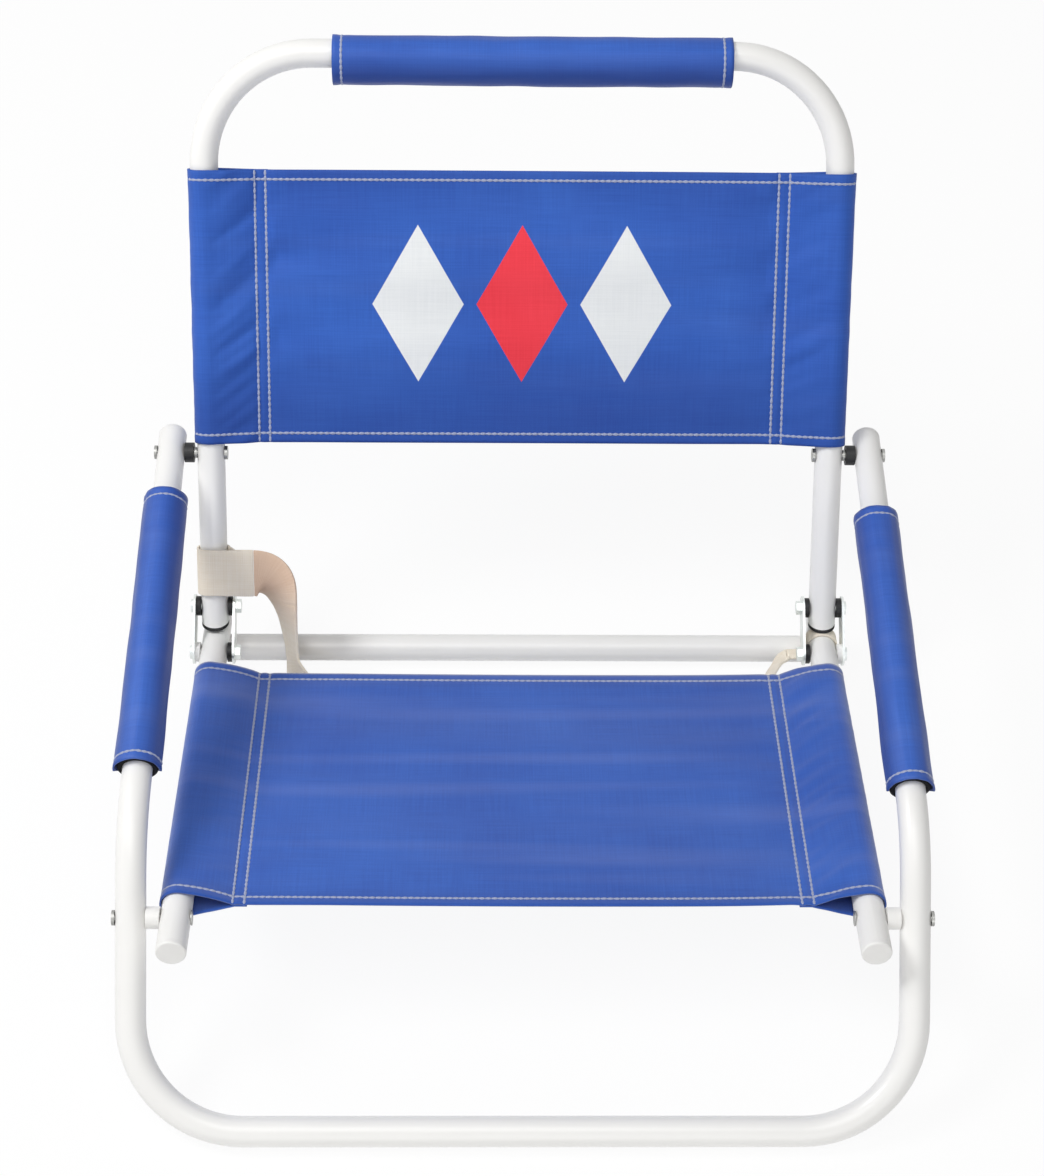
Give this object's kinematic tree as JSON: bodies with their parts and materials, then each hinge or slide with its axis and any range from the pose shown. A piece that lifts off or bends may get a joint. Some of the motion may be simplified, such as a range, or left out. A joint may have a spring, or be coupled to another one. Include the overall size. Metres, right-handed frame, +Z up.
{
  "type": "folding camp chair",
  "caption": "Low folding camp chair for the beach: bent tube arms and legs, cloth sling seat and back, padded sleeves on arms and top bar, and hinge links that let it fold flat.",
  "frame": {"origin": "on the floor, in the middle of the chair's width and depth when open", "axes": "+X to the right as seen from the front, +Y from front to back, +Z up"},
  "size_m": [0.5952, 0.7302, 0.4319],
  "materials": {
    "white_painted_tube": "smooth white powder coat",
    "white_plastic": "moulded white plastic",
    "blue_canvas": "woven blue canvas with pale stitching",
    "black_foam": "closed-cell black foam",
    "steel_rivet": "plain steel",
    "black_plastic": "black nylon",
    "zinc_plate": "zinc plated steel",
    "cream_webbing": "cream cotton webbing"
  },
  "bodies": {
    "seat": {"seat_tube_left": "white_painted_tube", "seat_tube_right": "white_painted_tube", "seat_front_cap_left": "white_plastic", "seat_front_cap_right": "white_plastic", "seat_rear_plug_left": "white_plastic", "seat_rear_plug_right": "white_plastic", "rear_floor_bar": "white_painted_tube", "floor_bar_plug_left": "white_plastic", "floor_bar_plug_right": "white_plastic", "seat_sling": "blue_canvas", "seat_pivot_rivets": "steel_rivet", "seat_pivot_spacers": "white_plastic", "carry_strap": "cream_webbing", "strap_loop_right": "cream_webbing"},
    "arms": {"arm_loop": "white_painted_tube", "arm_end_cap_left": "white_plastic", "arm_end_cap_right": "white_plastic", "arm_foam_left": "black_foam", "arm_foam_right": "black_foam", "arm_sleeve_left": "blue_canvas", "arm_sleeve_right": "blue_canvas", "arm_pivot_rivets": "steel_rivet", "arm_pivot_spacers": "black_plastic"},
    "links": {"hinge_plate_left_inner": "zinc_plate", "hinge_plate_left_outer": "zinc_plate", "hinge_plate_right_inner": "zinc_plate", "hinge_plate_right_outer": "zinc_plate", "upper_hinge_bolts": "zinc_plate", "lower_hinge_bolts": "zinc_plate", "upper_hinge_nuts": "zinc_plate", "lower_hinge_nuts": "zinc_plate", "upper_hinge_washers": "black_plastic", "lower_hinge_inner_washers": "black_plastic", "lower_hinge_outer_washers": "white_plastic"},
    "back": {"back_frame": "white_painted_tube", "back_foot_plug_left": "black_plastic", "back_foot_plug_right": "black_plastic", "back_sling": "blue_canvas", "headrest_foam": "black_foam", "headrest_sleeve": "blue_canvas", "back_pivot_rivets": "steel_rivet", "strap_loop_left": "cream_webbing"}
  },
  "joints": [
    {"name": "link_fold", "type": "hinge", "parent": "seat", "child": "links", "pos_m": [0, 0.05779, 0.03986], "axis": [1, 0, 0], "range_deg": [0, 87.19]},
    {"name": "back_fold", "type": "hinge", "parent": "links", "child": "back", "pos_m": [0, 0.09037, 0.05944], "axis": [1, 0, 0], "range_deg": [-136.49, 0]},
    {"name": "arm_fold", "type": "hinge", "parent": "seat", "child": "arms", "pos_m": [0, -0.23839, 0.11107], "axis": [1, 0, 0], "range_deg": [-11.07, 0]}
  ],
  "couplings": [
    {"joint": "back_fold", "follows": "link_fold", "ratio": -1.5648},
    {"joint": "arm_fold", "follows": "link_fold", "ratio": -0.12669}
  ]
}
